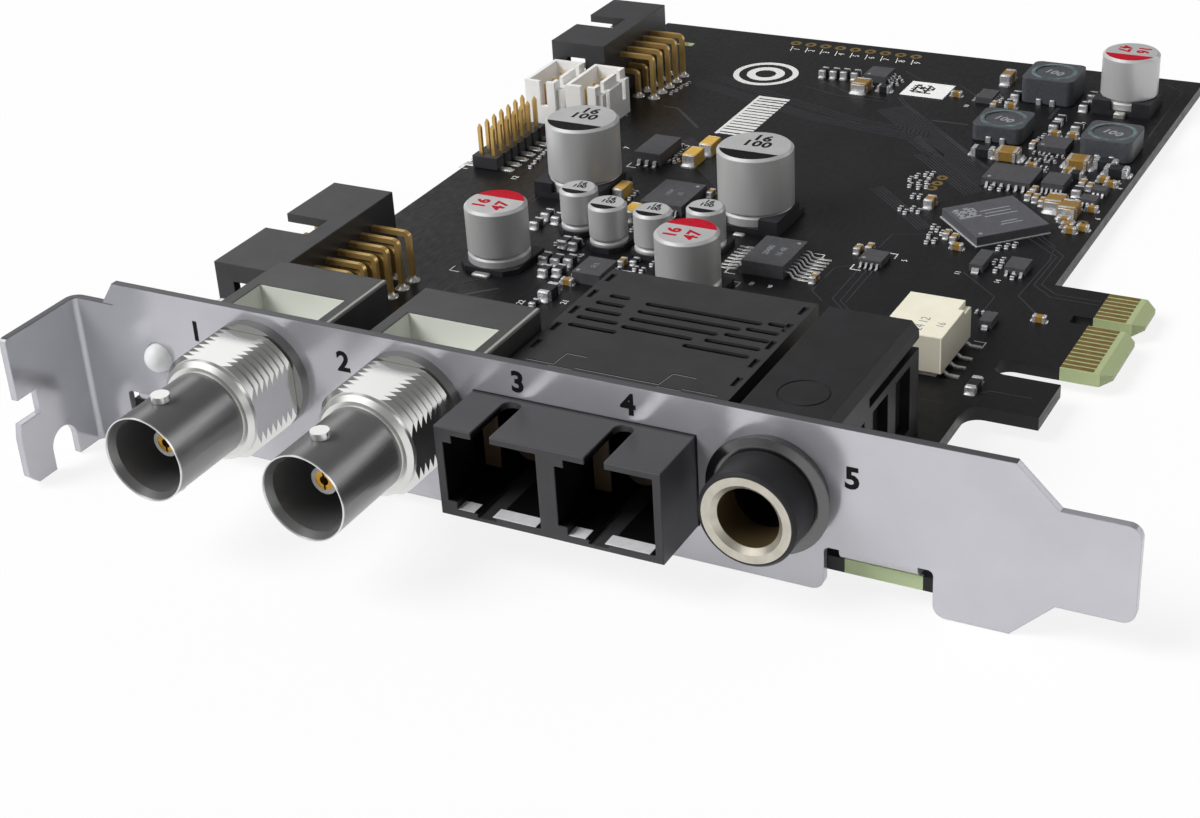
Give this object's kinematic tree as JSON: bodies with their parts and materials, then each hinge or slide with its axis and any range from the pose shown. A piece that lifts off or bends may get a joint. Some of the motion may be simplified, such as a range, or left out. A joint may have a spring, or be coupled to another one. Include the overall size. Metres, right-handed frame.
{
  "type": "pci express sound card",
  "caption": "Sound card for a computer slot: board with a keyed edge connector and a steel bracket that holds coaxial sockets, a twin optical port and a headphone jack.",
  "frame": {"origin": "corner where the flange's seat face, the bracket's outer face and the board's component side meet", "axes": "+X from the screw flange towards the edge contacts and the bracket's end tongue, +Y from the bracket into the computer, +Z out of the board's component side"},
  "size_m": [0.1209, 0.1591, 0.0208],
  "materials": {
    "board_mask": "satin black solder mask over glass-fibre board",
    "gold_plate": "gold plate",
    "bright_steel": "bright plated sheet",
    "screw_steel": "plated",
    "clear_lens": "clear cast resin",
    "nickel_plate": "nickel plate",
    "white_insulator": "white polymer",
    "grey_housing": "moulded grey polymer",
    "black_moulding": "moulded black polymer",
    "black_sheet": "dark plated sheet",
    "brown_sleeve": "brown metal sleeve",
    "inner_board": "glass-fibre board",
    "spring_metal": "plated spring strip",
    "pin_plate": "plated pins",
    "white_moulding": "moulded white polymer",
    "can_aluminium": "drawn aluminium",
    "coil_ferrite": "pressed powder",
    "chip_resin": "moulded resin",
    "relay_cream": "moulded cream polymer",
    "ceramic_tan": "fired ceramic"
  },
  "bodies": {
    "root": {"board": "board_mask", "edge_contacts": "gold_plate", "bracket": "bright_steel", "tab_screws": "screw_steel", "signal_lamp": "clear_lens", "coax_in_shell": "nickel_plate", "coax_in_insulator": "white_insulator", "coax_in_contact": "gold_plate", "coax_in_housing": "grey_housing", "coax_out_shell": "nickel_plate", "coax_out_insulator": "white_insulator", "coax_out_contact": "gold_plate", "coax_out_housing": "grey_housing", "transceiver_base": "black_moulding", "transceiver_cover": "black_sheet", "emitter_can": "brown_sleeve", "detector_can": "brown_sleeve", "transceiver_board": "inner_board", "transceiver_pins": "gold_plate", "jack_housing": "black_moulding", "jack_sleeve": "nickel_plate", "jack_nut": "black_moulding", "jack_sleeve_spring": "spring_metal", "jack_ring_spring": "spring_metal", "jack_tip_spring": "spring_metal", "front_header": "black_moulding", "front_header_pins": "pin_plate", "rear_header": "black_moulding", "rear_header_pins": "pin_plate", "left_wire_header": "white_moulding", "left_wire_pins": "pin_plate", "right_wire_header": "white_moulding", "right_wire_pins": "pin_plate", "pin_strip": "black_moulding", "pin_strip_pins": "pin_plate", "large_capacitor_1_can": "can_aluminium", "large_capacitor_1_seat": "black_moulding", "large_capacitor_2_can": "can_aluminium", "large_capacitor_2_seat": "black_moulding", "medium_capacitor_1_can": "can_aluminium", "medium_capacitor_1_seat": "black_moulding", "medium_capacitor_2_can": "can_aluminium", "medium_capacitor_2_seat": "black_moulding", "medium_capacitor_3_can": "can_aluminium", "medium_capacitor_3_seat": "black_moulding", "small_capacitor_1_can": "can_aluminium", "small_capacitor_1_seat": "black_moulding", "small_capacitor_2_can": "can_aluminium", "small_capacitor_2_seat": "black_moulding", "small_capacitor_3_can": "can_aluminium", "small_capacitor_3_seat": "black_moulding", "small_capacitor_4_can": "can_aluminium", "small_capacitor_4_seat": "black_moulding", "power_coil_1": "coil_ferrite", "power_coil_2": "coil_ferrite", "power_coil_3": "coil_ferrite", "main_chip": "chip_resin", "relay": "relay_cream", "surface_chips": "chip_resin", "chip_passives": "ceramic_tan"}
  },
  "joints": []
}
